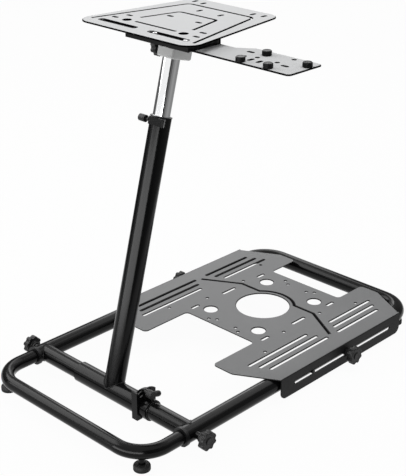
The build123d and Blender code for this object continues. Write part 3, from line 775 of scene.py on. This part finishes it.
@dataclass
class PressedSheets(Assembly):
    """The sheets, whose softened edges take the painted shade of their rim colour, and two small pieces, in
    millimetres.
    """

    edge: float = 1.4
    drop: float = 1.0
    shade_sheet_depth: float = 1.2
    shade_sheet_height: float = 1.0
    channel_wall: float = 3.2
    end_thickness: float = 2.5
    rib_pitch: float = 13.0
    rib_edge: float = 1.4
    rib_rise: float = 0.5

    def build(self) -> None:
        """Build the three sheets, the end of the channel between two of them and the pedal plate's seal."""
        for node, body, slot in (("wheel_plate", "wheel_mount", Slot.WHEEL),
                                 ("shifter_plate", "wheel_mount", Slot.SHIFTER),
                                 ("pedal_plate", "pedals", Slot.PEDALS)):
            sheet = from_cad(node, f"pressed_{node}")
            self.soften(sheet, folded=slot is Slot.PEDALS)
            self.settle(sheet, AS_BUILT, body, slot, [node])
        self.build_spacer_end()
        self.build_slit_shade_sheet()

    def soften(self, sheet: Piece, folded: bool) -> None:
        """Slope the top face down to every edge and opening.

        Args:
            sheet: A level sheet.
            folded: Whether its sides are folded down, so that only its openings are softened.
        """
        with editing(sheet):
            top = pick_top(sheet)
            mesh = bmesh.from_edit_mesh(sheet.data)
            outline = {level_place(vert.co) for vert in rims(mesh)[-1]}
            # The sloped band that this makes doesn't face up, so the rim colour paints shade on it and the
            # openings look wider and darker.
            lift(-self.drop)
            inset(self.edge)
            lift(self.drop)
            bpy.ops.mesh.delete(type="FACE")
            bpy.ops.mesh.select_mode(type="EDGE")
            bpy.ops.mesh.select_non_manifold()
            bpy.ops.mesh.fill()
            if folded:
                low = top - self.drop * MM
                pick(sheet, "VERT", lambda at: abs(at.z - low) < NEAR and level_place(at) in outline)
                lift(self.drop)
            face_outwards()

    def build_slit_shade_sheet(self) -> None:
        """Back the pedal plate's long slit with a dark strip of painted shade, cut from the slit's own outline."""
        shade_sheet = from_cad("pedal_plate", "slit_shade_sheet")
        with editing(shade_sheet):
            pick_top(shade_sheet)
            mesh = bmesh.from_edit_mesh(shade_sheet.data)
            slit = rims(mesh)[-2]
            bmesh.ops.delete(mesh, geom=[vert for vert in mesh.verts if vert not in slit], context="VERTS")
            bmesh.update_edit_mesh(shade_sheet.data)
            bpy.ops.mesh.select_mode(type="EDGE")
            bpy.ops.mesh.select_all(action="SELECT")
            bpy.ops.mesh.edge_face_add()
            lift(-self.shade_sheet_depth)
            extrude(-self.shade_sheet_height)
            face_outwards()
        self.settle(shade_sheet, AS_BUILT, "pedals", Slot.BUSHING, looks=[self.materials.shade_sheet])

    def build_spacer_end(self) -> None:
        """Close the channel's right end with a ribbed black plate."""
        low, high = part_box("shifter_spacer")
        wall = self.channel_wall * MM
        size = Vector((self.end_thickness * MM, high.y - low.y - 2 * wall, high.z - low.z - wall))
        bpy.ops.mesh.primitive_cube_add(size=1)
        end = bpy.context.active_object
        end.name = "spacer_end"
        end.data.transform(Matrix.Diagonal((*size, 1)))
        end.data.transform(Matrix.Translation((high.x - size.x, (low.y + high.y) / 2, low.z + size.z / 2)))
        pitch = self.rib_pitch * MM
        with editing(end):
            cut = low.y + wall + pitch
            while cut < high.y - wall - pitch / 3:
                bpy.ops.mesh.select_all(action="SELECT")
                bpy.ops.mesh.bisect(plane_co=(0, cut, 0), plane_no=(0, 1, 0))
                cut += pitch
            outside = high.x - size.x / 2 - NEAR
            pick(end, "FACE", lambda middle, normal: normal.x > 0.9 and middle.x > outside)
            inset(self.rib_edge, self.rib_rise, each=True)
        self.settle(end, AS_BUILT, "wheel_mount", Slot.COLUMN)


# Knobs, nuts, feet and screws


@dataclass
class StarKnobs(Assembly):
    """The five star knobs: a fluted grip with a capped face, a neck and a screw, in millimetres."""

    radius: float = 20.5
    flute_radius: float = 6.0
    thickness: float = 14.0
    lobes: int = 8
    points_each: int = 12
    edge: float = 1.5
    face_border: float = 1.1
    face_groove: float = 0.7
    groove_depth: float = 0.5
    neck_radius: float = 10.5
    cap_radius: float = 8.6
    cap_height: float = 1.5
    screw_radius: float = 4.0
    head_bolt_radius: float = 5.0

    def flute_reach(self, angle: float) -> float:
        """Distance from the axis to the grip's side.

        Args:
            angle: Angle from the middle of the nearest flute, in radians.

        Returns:
            The distance in millimetres.
        """
        centre = self.radius + self.flute_radius / 2
        inside = self.flute_radius**2 - (centre * math.sin(angle)) ** 2
        if inside <= 0:
            return self.radius
        return min(self.radius, centre * math.cos(angle) - math.sqrt(inside))

    def grip(self) -> Piece:
        """The fluted grip, with its lower face at Z = 0.

        Returns:
            The grip.
        """
        sides = self.lobes * self.points_each
        grip = turned("star_grip", [(self.radius, 0), (self.radius, self.thickness)], sides)
        pitch = 2 * math.pi / self.lobes
        step = pitch / self.points_each
        with editing(grip):
            for count in range(self.points_each // 2):
                angle = count * step
                pick(grip, "VERT", lambda place, at=angle: abs(off_pitch(place, pitch) - at) < step / 4)
                widen(self.flute_reach(angle) / self.radius)
            for height, edge in ((0, self.edge / 2), (self.thickness, self.edge)):
                level = height * MM
                pick(grip, "EDGE", lambda a, b, z=level: abs(a.z - z) < NEAR and abs(b.z - z) < NEAR)
                bpy.ops.mesh.bevel(offset=edge * MM, segments=3, profile=0.5, affect="EDGES")
            pick_top(grip)
            inset(self.face_border)
            inset(self.face_groove, -self.groove_depth)
        return grip

    def model(self, name: str, neck: float, *bolts: Piece) -> Piece:
        """A whole knob about its own seat, with Z outwards.

        Args:
            name: The knob's name.
            neck: Length from the seat to the grip.
            bolts: The screw that it turns, below the seat.

        Returns:
            The knob.
        """
        grip = self.grip()
        grip.data.transform(Matrix.Translation((0, 0, neck * MM)))
        face = neck + self.thickness
        lid = face + self.cap_height
        rim = self.cap_radius
        cap = turned("cap", [
            (rim - 0.6, face - 2), (rim, face - 1), (rim, lid - 0.8), (rim - 0.8, lid), (rim - 2.2, lid),
            (rim - 2.6, lid - 0.4), (1.0, lid - 0.4)])
        side = self.neck_radius
        collar = turned("neck", [
            (side - 0.6, 0.2), (side, 0.8), (side, neck * 0.45), (side - 1.2, neck * 0.55),
            (side - 1.2, neck * 0.8), (side + 2, neck + 1)])
        return joined(name, grip, cap, collar, *bolts)

    def build(self) -> None:
        """Build the knobs of the frame, the pedal plate and the head."""
        for side in Side:
            for kind, seat_on in (("frame", "frame_tube"), ("pedal", "pedal_plate")):
                self.build_at_side(kind, side, reach(seat_on, side))
        self.build_at_head()

    def build_at_side(self, kind: str, side: Side, seat: float) -> None:
        """Build one of the four knobs at the stand's sides.

        Args:
            kind: The first word of its node, frame or pedal.
            side: The side that it faces.
            seat: How far its seat is from the stand's middle.
        """
        node = f"{kind}_knob_{side.word}"
        face = reach(node, side) - self.cap_height
        screw = plain_screw(self.screw_radius, seat - reach(node, Side(-side.value)), 0.8)
        knob = self.model(f"{kind}_star_knob_{side.word}", face - self.thickness - seat, screw)
        middle = middle_of(node)
        origin = Vector((CENTRE.x + side.value * seat * MM, middle.y, middle.z))
        place = standing(origin, Vector((side.value, 0, 0)))
        self.settle(knob, place, f"{kind}_clamp_{side.word}", Slot.KNOB, [node])

    def build_at_head(self) -> None:
        """Build the knob of the head, with the bolt that it draws through the tongue."""
        low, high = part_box("head_knob")
        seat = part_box("head_block")[0].x
        bolt = plain_screw(self.head_bolt_radius, (high.x - seat) / MM, 1.0, sides=32)
        neck = (seat - low.x) / MM - self.thickness - self.cap_height
        knob = self.model("head_star_knob", neck, bolt)
        middle = middle_of("head_knob")
        place = standing(Vector((seat, middle.y, middle.z)), Vector((-1, 0, 0)))
        self.settle(knob, place, "head_clamp", Slot.KNOB, ["head_knob"])


@dataclass
class ThumbNuts(Assembly):
    """The four thumb nuts on the shifter plate: ribbed skirts with pale tops, in millimetres."""

    radius: float = 9.25
    ribs: int = 30
    rib_height: float = 0.35
    rib_edge: float = 0.12
    border: float = 0.9
    dish_edge: float = 0.3
    dish_depth: float = 0.35
    screw_radius: float = 3.0

    def build(self) -> None:
        """Model one nut and copy it to the four places."""
        low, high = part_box("thumb_nut_1")
        plate_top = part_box("shifter_plate")[1].z
        nut = self.model((high.z - plate_top) / MM, (plate_top - low.z) / MM)
        looks = [self.materials.by_slot[Slot.THUMB], self.materials.pale_top]
        for number in range(1, 5):
            node = f"thumb_nut_{number}"
            copy = copied(nut, f"ribbed_{node}")
            self.settle(copy, over(node, plate_top), "wheel_mount", Slot.THUMB, [node], looks)
        bpy.data.objects.remove(nut)

    def model(self, height: float, screw: float) -> Piece:
        """One nut, standing on Z = 0, with its screw below.

        Args:
            height: The nut's height.
            screw: The screw's length below the plate's top.

        Returns:
            The nut.
        """
        core = self.radius - self.rib_height
        skirt = [(core - 0.5, 0), (core, 0.8), (core, height - 1.2), (core - 1.0, height)]
        nut = turned("nut_skirt", skirt, 2 * self.ribs)
        pitch = math.pi / self.ribs

        def is_rib(middle: Vector, normal: Vector) -> bool:
            """True on every second upright face."""
            turn = math.atan2(middle.y, middle.x) % (2 * math.pi)
            return abs(normal.z) < 0.1 and int(turn / pitch) % 2 == 0

        with editing(nut):
            pick(nut, "FACE", is_rib)
            inset(self.rib_edge, self.rib_height, each=True)
            pick_top(nut)
            inset(self.border)
            inset(self.dish_edge, -self.dish_depth)
            inset(self.dish_edge)
            mesh = bmesh.from_edit_mesh(nut.data)
            for face in mesh.faces:
                if face.select:
                    face.material_index = 1
            bmesh.update_edit_mesh(nut.data)
        return joined("thumb_nut", nut, plain_screw(self.screw_radius, screw, 0.6))


@dataclass
class FootPads(Assembly):
    """The four rubber pads: grooved pucks with a rounded shoulder, in millimetres."""

    top_radius: float = 8.4

    def build(self) -> None:
        """Model one pad and copy it to the four corners."""
        side = extent("foot_front_right", "x") / 2
        height = extent("foot_front_right", "z")
        pad = turned("foot_pad", [
            (side - 1.2, 0), (side - 0.3, 0.4), (side, 1.2), (side, 3.4), (side - 0.7, 3.8),
            (side - 0.7, 4.6), (side, 5.0), (side, height - 4.5), (side - 0.5, height - 2.9),
            (side - 1.6, height - 1.4), (side - 3.1, height - 0.4), (side - 4.6, height),
            (self.top_radius, height)], 64)
        for corner in Side:
            for end, body in (("front", "hoop"), ("rear", "frame")):
                node = f"foot_{end}_{corner.word}"
                copy = copied(pad, f"rubber_{node}")
                self.settle(copy, over(node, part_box(node)[0].z), body, Slot.RUBBER, [node])
        bpy.data.objects.remove(pad)


@dataclass
class SunkScrews(Assembly):
    """The two countersunk socket screws in the wheel plate over their hexagon nuts, in millimetres."""

    radius: float = 4.0
    head_radius: float = 6.2
    head_depth: float = 2.0
    crown: float = 3.9
    slope: float = 1.5
    socket: float = 2.3
    socket_depth: float = 1.6
    nut_radius: float = 6.5
    nut_height: float = 5.0
    end: float = 2.5
    sides: int = 36

    def build(self) -> None:
        """Model one screw and copy it to its two places."""
        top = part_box("wheel_bolt_1")[1].z
        screw = self.model(extent("wheel_bolt_1", "z"))
        for number in (1, 2):
            node = f"wheel_bolt_{number}"
            copy = copied(screw, f"sunk_screw_{number}")
            self.settle(copy, over(node, top), "wheel_mount", Slot.ZINC, [node])
        bpy.data.objects.remove(screw)

    def model(self, length: float) -> Piece:
        """One screw and nut, with the head's top at Z = 0.

        Args:
            length: The screw's whole length.

        Returns:
            The screw.
        """
        wide, deep = self.head_radius, self.head_depth
        # The head's sloped side and the socket's walls don't face up, so the zinc finish's rim colour paints shade
        # on them round a pale crown.
        head = [(wide - deep, -deep), (wide, -self.slope), (self.crown, 0)]
        screw = turned("screw_head", head, self.sides)
        pitch = math.pi / 3
        rim = (self.socket + 0.8) * MM
        with editing(screw):
            pick_top(screw)
            inset(self.crown - self.socket)
            for count in range(self.sides // 12 + 1):
                angle = count * 2 * math.pi / self.sides

                def on_rim(place: Vector, wanted: float = angle) -> bool:
                    """True on the socket's rim at the wanted angle from the middle of a flat."""
                    near = place.z > -NEAR and place.length < rim
                    return near and abs(off_pitch(place, pitch) - wanted) < pitch / 24

                pick(screw, "VERT", on_rim)
                widen(math.cos(pitch / 2) / math.cos(angle))
            pick(screw, "FACE", lambda middle, normal: middle.z > -NEAR and middle.xy.length < rim / 4)
            extrude(-self.socket_depth)
        shank = plain_screw(self.radius, length, 0.8, -self.socket_depth - 0.2, 28)
        seat = self.nut_height + self.end - length
        foot = seat - self.nut_height
        side = self.nut_radius
        ends = [(side - 0.9, foot), (side, foot + 0.6), (side, seat - 0.4), (side - 0.5, seat)]
        nut = turned("screw_nut", ends, 6)
        return joined("sunk_screw", screw, shank, nut)


@dataclass
class ClampHandles(Assembly):
    """The height clamp's round knob and the tilt lock's lever, in millimetres."""

    stem: float = 8.0
    stem_radius: float = 3.0
    lock_lug: float = 7.0
    hub_gap: float = 0.3
    droop: float = 16.6

    def build(self) -> None:
        """Build both handles."""
        self.build_height_knob()
        self.build_lock_lever()

    def build_height_knob(self) -> None:
        """Build the round knob, grooved near its stem, and the stem."""
        length = extent("height_knob", "x")
        side = extent("height_knob", "z") / 2
        stem = self.stem
        grip = turned("height_grip", [
            (side - 0.5, stem), (side, stem + 0.4), (side, stem + 2.4), (side - 0.4, stem + 2.7),
            (side - 0.4, stem + 3.3), (side, stem + 3.6), (side, length - 0.4), (side - 0.4, length),
            (side - 2.0, length), (side - 2.4, length - 0.4), (1.0, length - 0.4)])
        knob = joined("grooved_height_knob", grip, plain_screw(self.stem_radius, 0.0, 0.6, stem + 1))
        middle = middle_of("height_knob")
        place = standing(Vector((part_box("height_knob")[1].x, middle.y, middle.z)), Vector((-1, 0, 0)))
        self.settle(knob, place, "height_clamp", Slot.KNOB, ["height_knob"])

    def build_lock_lever(self) -> None:
        """Build the clamp bolt with its domed head, its hub and the short round-ended lever."""
        low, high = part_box("lock_lever")
        pivot = joint_fact("tilt_lock_turn", "pos_m")
        length = extent("lock_lever", "x")
        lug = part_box("lock_ring")[0].x + self.lock_lug * MM
        hub = (high.x - lug) / MM - self.hub_gap
        bolt = turned("lock_bolt", [
            (3.2, 0), (5.2, 0.5), (6.0, 1.4), (6.2, 2.6), (6.2, 4.0), (4.0, 4.0),
            (4.0, length - hub + 1)], 36)
        boss = turned("lock_hub", [
            (8.2, length - hub), (9, length - hub + 0.8), (9, length - 1), (8, length), (5.4, length),
            (5.0, length - 0.6), (1.0, length - 0.6)])
        grip = turned("lock_grip", [
            (5.2, 0), (5.6, 8.4), (6.0, 12), (6.5, 17), (6.5, 21), (6.1, 23.6), (5.0, 25.4), (3.0, 26.3),
            (1.0, 26.5)], 40)
        droop = math.radians(self.droop)
        root = Vector((0, 0, (length - hub / 2) * MM))
        grip.data.transform(standing(root, Vector((math.sin(droop), math.cos(droop), 0))))
        lever = joined("tilt_lock_lever", bolt, boss, grip)
        place = Matrix(((0, 0, 1, low.x), (0, 1, 0, pivot.y), (-1, 0, 0, pivot.z), (0, 0, 0, 1)))
        self.settle(lever, place, "tilt_lock", Slot.KNOB, ["lock_lever"])


# Welds


@dataclass
class WeldBeads(Assembly):
    """Rippled weld beads where the tubes meet, in millimetres."""

    bead: float = 1.5
    ripple: float = 0.22
    steps: int = 72
    ring_gap: float = 0.4

    def build(self) -> None:
        """Lay every bead."""
        tube = extent("crossbar", "z") / 2
        sleeve = extent("tilt_sleeve", "z") / 2
        column = extent("column_tube", "x") / 2
        side_x = abs(middle_of("bushing_right").x - CENTRE.x) / MM
        ring_x = (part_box("lock_ring")[1].x - CENTRE.x) / MM + self.ring_gap
        saddle_x = (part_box("index_saddle")[0].x - CENTRE.x) / MM - self.ring_gap

        def cope(angle: float, side: Side) -> Vector:
            """Point where the crossbar meets a side tube."""
            across, rise = tube * math.cos(angle), tube * math.sin(angle)
            return Vector((side.value * (side_x - math.sqrt(max(0.0, tube**2 - rise**2))), across, rise))

        def saddle(angle: float) -> Vector:
            """Point where the column meets the sleeve."""
            side, across = column * math.cos(angle), column * math.sin(angle)
            along = math.sqrt(sleeve**2 - across**2)
            tall, lean = COLUMN_AXIS.z, COLUMN_AXIS.y
            return Vector((side, along * lean + across * tall, along * tall - across * lean))

        def ring(x: float, radius: float) -> Callable[[float], Vector]:
            """Line round a tube that lies along X."""
            return lambda angle: Vector((x, radius * math.cos(angle), radius * math.sin(angle)))

        for side in Side:
            self.lay(f"crossbar_weld_{side.word}", "frame", lambda angle, side=side: cope(angle, side))
        self.lay("column_weld", "column", saddle)
        self.lay("lock_ring_weld", "frame", ring(ring_x, tube))
        self.lay("index_saddle_weld", "column", ring(saddle_x, sleeve))

    def lay(self, name: str, body: str, path: Callable[[float], Vector]) -> None:
        """Lay one closed bead.

        Args:
            name: The bead's name.
            body: The body that carries it.
            path: The bead's line about the crossbar's middle, for an angle in radians.
        """
        bpy.ops.mesh.primitive_circle_add(vertices=self.steps, fill_type="NOTHING")
        line = bpy.context.active_object
        line.name = name
        for index, vert in enumerate(line.data.vertices):
            vert.co = path(2 * math.pi * index / self.steps) * MM
        bpy.ops.object.convert(target="CURVE")
        line = bpy.context.active_object
        line.data.bevel_depth = self.bead * MM
        line.data.bevel_resolution = 3
        for spline in line.data.splines:
            for index, point in enumerate(spline.points):
                point.radius = 1 + self.ripple * (index % 2)
        bpy.ops.object.convert(target="MESH")
        bead = bpy.context.active_object
        self.settle(bead, Matrix.Translation(CENTRE), body, Slot.FRAME, looks=[self.materials.weld])


# Studio


def between(ends: tuple[float, float], share: float) -> float:
    """A number between two ends."""
    return ends[0] + (ends[1] - ends[0]) * share


def seen_directly(wiring: Wiring) -> Socket:
    """One for rays from the camera, from a mirror or through glass, and nought for the others.

    Args:
        wiring: The floor's or the world's node tree.

    Returns:
        The number's socket.
    """
    ray = wiring.add("LightPath").outputs
    first = wiring.maths("MAXIMUM", ray["Is Camera Ray"], ray["Is Glossy Ray"])
    return wiring.maths("MAXIMUM", first, ray["Is Transmission Ray"])


@dataclass(frozen=True)
class Card:
    """A card or a bright strip round the stand that only shows in what it mirrors.

    Args:
        name: The card's name.
        azimuth: Its two sides in degrees from the camera, to the left of the picture below nought.
        elevation: Its lower and upper edge in degrees, seen from the middle of the column.
        distance: Its distance from the column in metres.
        glow: Its brightness, where 1 is white.
    """

    name: str
    azimuth: tuple[float, float]
    elevation: tuple[float, float]
    distance: float
    glow: float

    def build(self, middle: Vector, facing: float) -> None:
        """Stand the card up.

        Args:
            middle: The middle of the column.
            facing: The camera's azimuth in radians.
        """
        bpy.ops.mesh.primitive_grid_add(x_subdivisions=12, y_subdivisions=1, size=1)
        card = bpy.context.active_object
        card.name = self.name
        for vert in card.data.vertices:
            turn = facing + math.radians(between(self.azimuth, vert.co.x + 0.5))
            rise = math.radians(between(self.elevation, vert.co.y + 0.5))
            vert.co = middle + self.distance * Vector((math.cos(turn), math.sin(turn), math.tan(rise)))
        material, wiring = new_material(self.name)
        glow = wiring.add("Emission", {"Strength": self.glow})
        wiring.feed(wiring.tree.nodes["Material Output"], {"Surface": glow.outputs["Emission"]})
        card.data.materials.append(material)
        for ray in ("camera", "diffuse", "transmission", "volume_scatter", "shadow"):
            setattr(card, f"visible_{ray}", False)


@dataclass(frozen=True)
class Lamp:
    """A rectangular soft lamp, which only the cards stand for in mirrors.

    Args:
        name: The lamp's name.
        place: Where it hangs, in metres.
        target: What it points at.
        size: Its width and height.
        power: Its power in watts.
    """

    name: str
    place: tuple[float, float, float]
    target: tuple[float, float, float]
    size: tuple[float, float]
    power: float

    def build(self) -> None:
        """Hang the lamp."""
        data = bpy.data.lights.new(self.name, "AREA")
        data.shape = "RECTANGLE"
        data.size, data.size_y = self.size
        data.energy = self.power
        lamp = bpy.data.objects.new(self.name, data)
        bpy.context.scene.collection.objects.link(lamp)
        lamp.location = self.place
        aim = Vector(self.target) - Vector(self.place)
        lamp.rotation_euler = aim.to_track_quat("-Z", "Y").to_euler()
        lamp.visible_glossy = False


CARDS = (
    Card("left_strip", (-74, 3), (-11, 12), 2.4, 8.0),
    Card("left_high_strip", (-150, -86), (12, 52), 2.6, 5.0),
    Card("back_strip", (171, 189), (12, 44), 3.0, 4.0),
    Card("back_right_strip", (100, 168), (34, 54), 2.6, 2.5),
    Card("left_edge_flag", (-168, -96), (-34, 18), 1.3, 0.11),
    Card("right_flag_1", (3, 20), (-34, 30), 1.10, 0.04),
    Card("right_flag_2", (20, 40), (-34, 30), 1.09, 0.12),
    Card("right_flag_3", (40, 62), (-34, 30), 1.08, 0.24),
    Card("right_flag_4", (62, 100), (-34, 20), 1.07, 0.32),
    Card("right_flag_5", (100, 150), (-34, 10), 1.06, 0.26),
)
LAMPS = (
    Lamp("overhead_lamp", (0.2, 0.6, 3.2), (0.0, 0.1, 0.3), (2.4, 2.0), 25.0),
    Lamp("left_lamp", (-2.4, -1.2, 1.5), (0.0, 0.0, 0.35), (0.6, 2.2), 30.0),
)


@dataclass
class Studio:
    """Floor, world, lamps, cards and camera."""

    floor_size: float = 40.0
    floor_gap: float = 0.0002
    floor_colour: Colour = (0.82, 0.82, 0.82)
    floor_roughness: float = 0.9
    floor_glow: float = 0.96
    ambient: float = 0.55
    photo_width: int = 406
    focal_pixels: float = 1165.06
    sensor: float = 36.0
    heading: float = 44.13
    elevation: float = 24.19
    camera_offset: tuple[float, float, float] = (1.6128, -1.3901, 1.3033)

    def build(self) -> None:
        """Build the studio round the stand."""
        bpy.context.scene.view_settings.view_transform = "Standard"
        self.build_floor()
        self.build_world()
        for lamp in LAMPS:
            lamp.build()
        self.build_camera()
        facing = math.radians(self.heading - 90)
        for card in CARDS:
            card.build(middle_of("column_tube"), facing)

    def build_floor(self) -> None:
        """Lay the pale floor, which is white to the camera and keeps the shadow."""
        place = (0, 0, cad_box[0][2] - self.floor_gap)
        bpy.ops.mesh.primitive_plane_add(size=self.floor_size, location=place)
        floor = bpy.context.active_object
        floor.name = "studio_floor"
        material, wiring = new_material("Studio floor")
        shader = wiring.tree.nodes["Principled BSDF"]
        wiring.feed(shader, {
            "Base Color": (*self.floor_colour, 1.0),
            "Roughness": self.floor_roughness,
            "Specular IOR Level": 0.0,
        })
        share = wiring.maths("MULTIPLY", seen_directly(wiring), self.floor_glow)
        wiring.show("Material Output", share, shader, wiring.add("Emission", {"Color": WHITE}))
        floor.data.materials.append(material)

    def build_world(self) -> None:
        """Make the world white to the camera and to mirrors, and soft for everything else."""
        world = bpy.data.worlds.new("Studio world")
        bpy.context.scene.world = world
        world.use_nodes = True
        wiring = Wiring(world.node_tree)
        soft = wiring.tree.nodes["Background"]
        wiring.feed(soft, {"Color": WHITE, "Strength": self.ambient})
        bright = wiring.add("Background", {"Color": WHITE, "Strength": 1.0})
        wiring.show("World Output", seen_directly(wiring), soft, bright)

    def build_camera(self) -> None:
        """Set the camera at the photograph's viewing angle."""
        data = bpy.data.cameras.new("Photograph")
        data.sensor_fit = "HORIZONTAL"
        data.sensor_width = self.sensor
        data.lens = self.sensor * self.focal_pixels / self.photo_width
        camera = bpy.data.objects.new("Photograph", data)
        bpy.context.scene.collection.objects.link(camera)
        heading, drop = math.radians(self.heading), math.radians(self.elevation)
        level = math.cos(drop)
        gaze = Vector((-math.sin(heading) * level, math.cos(heading) * level, -math.sin(drop)))
        camera.location = CENTRE + Vector(self.camera_offset)
        camera.rotation_euler = gaze.to_track_quat("-Z", "Y").to_euler()
        bpy.context.scene.camera = camera


def main() -> None:
    """Dress the stand, build its detailed pieces and set up the studio."""
    logging.basicConfig(level=logging.INFO, format="%(name)s: %(message)s")
    materials = Materials()
    materials.dress_frame()
    for assembly in (PressedSheets, StarKnobs, ThumbNuts, FootPads, SunkScrews, ClampHandles, WeldBeads):
        log.info("building %s", assembly.__name__)
        assembly(materials).build()
    Studio().build()


if __name__ == "__main__":
    main()
